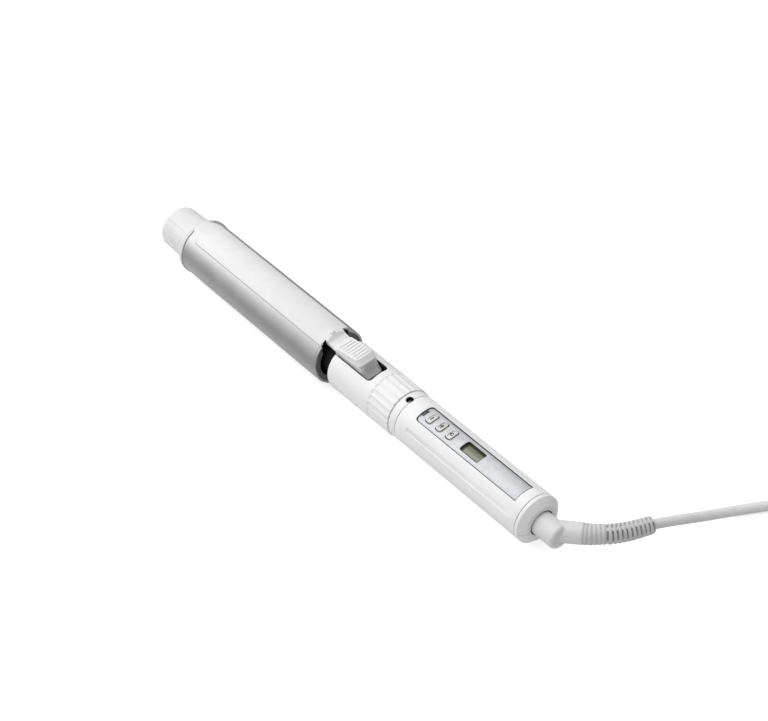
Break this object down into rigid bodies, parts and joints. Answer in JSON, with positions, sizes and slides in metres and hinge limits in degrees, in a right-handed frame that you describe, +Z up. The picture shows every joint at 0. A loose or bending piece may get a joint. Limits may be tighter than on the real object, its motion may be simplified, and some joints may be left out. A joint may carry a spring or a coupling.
{
  "type": "curling iron",
  "caption": "Round heated barrel with a spring clamp and thumb lever, on a handle with a screen, keys and a swivelling mains cord wound in a coil.",
  "frame": {"origin": "on the floor under the middle of the tool, from the cool tip's end to the back of the swivel's elbow, without the cord", "axes": "+X along the tool from its cool tip towards its cord, +Z up through the thumb lever and the keys, +Y to the side the cord leaves towards"},
  "size_m": [0.481, 0.1552, 0.0367],
  "materials": {
    "white_plastic": "moulded, low gloss",
    "matte_white_plastic": "heat-resistant, fine texture",
    "satin_metal": "satin plated",
    "silver_grey_plastic": "silver-grey paint",
    "button_silver": "silver paint",
    "black_plastic": "moulded",
    "screen_glass": "clear over an olive liquid crystal",
    "screen_module": "olive reflector",
    "smoked_window": "smoked lens",
    "circuit_board": "solder mask",
    "cord_rubber": "soft satin",
    "tie_fabric": "hook-and-loop strap",
    "aluminium": "extruded",
    "steel": "turned",
    "brass": "stamped and turned",
    "bronze": "sintered",
    "carbon": "pressed carbon",
    "ceramic": "fired ceramic"
  },
  "bodies": {
    "cord_set": {"swivel_stub": "cord_rubber", "swivel_contact_ring": "brass", "swivel_contact_pin": "brass", "strain_relief": "cord_rubber", "power_cord": "cord_rubber", "cord_tail": "cord_rubber", "cord_coil": "cord_rubber", "cord_tie": "tie_fabric", "plug_body": "matte_white_plastic", "plug_blade_live": "brass", "plug_blade_neutral": "brass"},
    "handle": {"handle_ring": "white_plastic", "front_bearing": "bronze", "ring_screw_upper": "steel", "ring_screw_lower": "steel", "handle_upper_shell": "white_plastic", "handle_lower_shell": "white_plastic", "panel_plate": "silver_grey_plastic", "screen_bezel": "black_plastic", "screen_module": "screen_module", "screen_glass": "screen_glass", "lamp_window": "smoked_window", "minus_switch": "black_plastic", "plus_switch": "black_plastic", "power_switch": "black_plastic", "circuit_board": "circuit_board", "power_triac": "black_plastic", "brush_holder": "black_plastic", "brush_1": "carbon", "brush_2": "carbon", "brush_3": "carbon", "end_cap_upper": "white_plastic", "end_cap_lower": "white_plastic", "ring_spring": "brass", "pin_spring": "brass", "contact_holder": "black_plastic"},
    "barrel_head": {"cool_tip": "matte_white_plastic", "barrel_tube": "satin_metal", "heater_block_upper": "aluminium", "heater_block_lower": "aluminium", "heater_element": "ceramic", "thermistor": "steel", "thermal_fuse": "steel", "barrel_neck": "black_plastic", "front_collar": "white_plastic", "hinge_pin": "steel", "clamp_spring": "steel", "spindle": "steel", "slip_ring_sleeve": "black_plastic", "slip_ring_1": "brass", "slip_ring_2": "brass", "slip_ring_3": "brass", "retaining_clip": "steel"},
    "clamp": {"clamp_cover": "white_plastic", "thumb_lever": "white_plastic", "clamp_tongue": "aluminium", "clamp_rivet": "white_plastic"},
    "minus_button": {"minus_button": "button_silver"},
    "plus_button": {"plus_button": "button_silver"},
    "power_button": {"power_button": "button_silver"}
  },
  "joints": [
    {"name": "handle_swivel", "type": "hinge", "parent": "cord_set", "child": "handle", "pos_m": [0.14369, 0, 0.01638], "axis": [1, 0, 0], "continuous": true},
    {"name": "barrel_spin", "type": "hinge", "parent": "handle", "child": "barrel_head", "pos_m": [0.04259, 0, 0.01638], "axis": [1, 0, 0], "continuous": true},
    {"name": "clamp_lever", "type": "hinge", "parent": "barrel_head", "child": "clamp", "pos_m": [-0.00341, 0, 0.02237], "axis": [0, 1, 0], "range_deg": [0, 14], "stiffness_Nm_per_rad": 0.3, "springref_deg": -17.19},
    {"name": "minus_press", "type": "slide", "parent": "handle", "child": "minus_button", "axis": [0, 0, -1], "range_m": [0, 0.0005], "stiffness_N_per_m": 600, "springref_m": -0.0004},
    {"name": "plus_press", "type": "slide", "parent": "handle", "child": "plus_button", "axis": [0, 0, -1], "range_m": [0, 0.0005], "stiffness_N_per_m": 600, "springref_m": -0.0004},
    {"name": "power_press", "type": "slide", "parent": "handle", "child": "power_button", "axis": [0, 0, -1], "range_m": [0, 0.0005], "stiffness_N_per_m": 600, "springref_m": -0.0004}
  ]
}
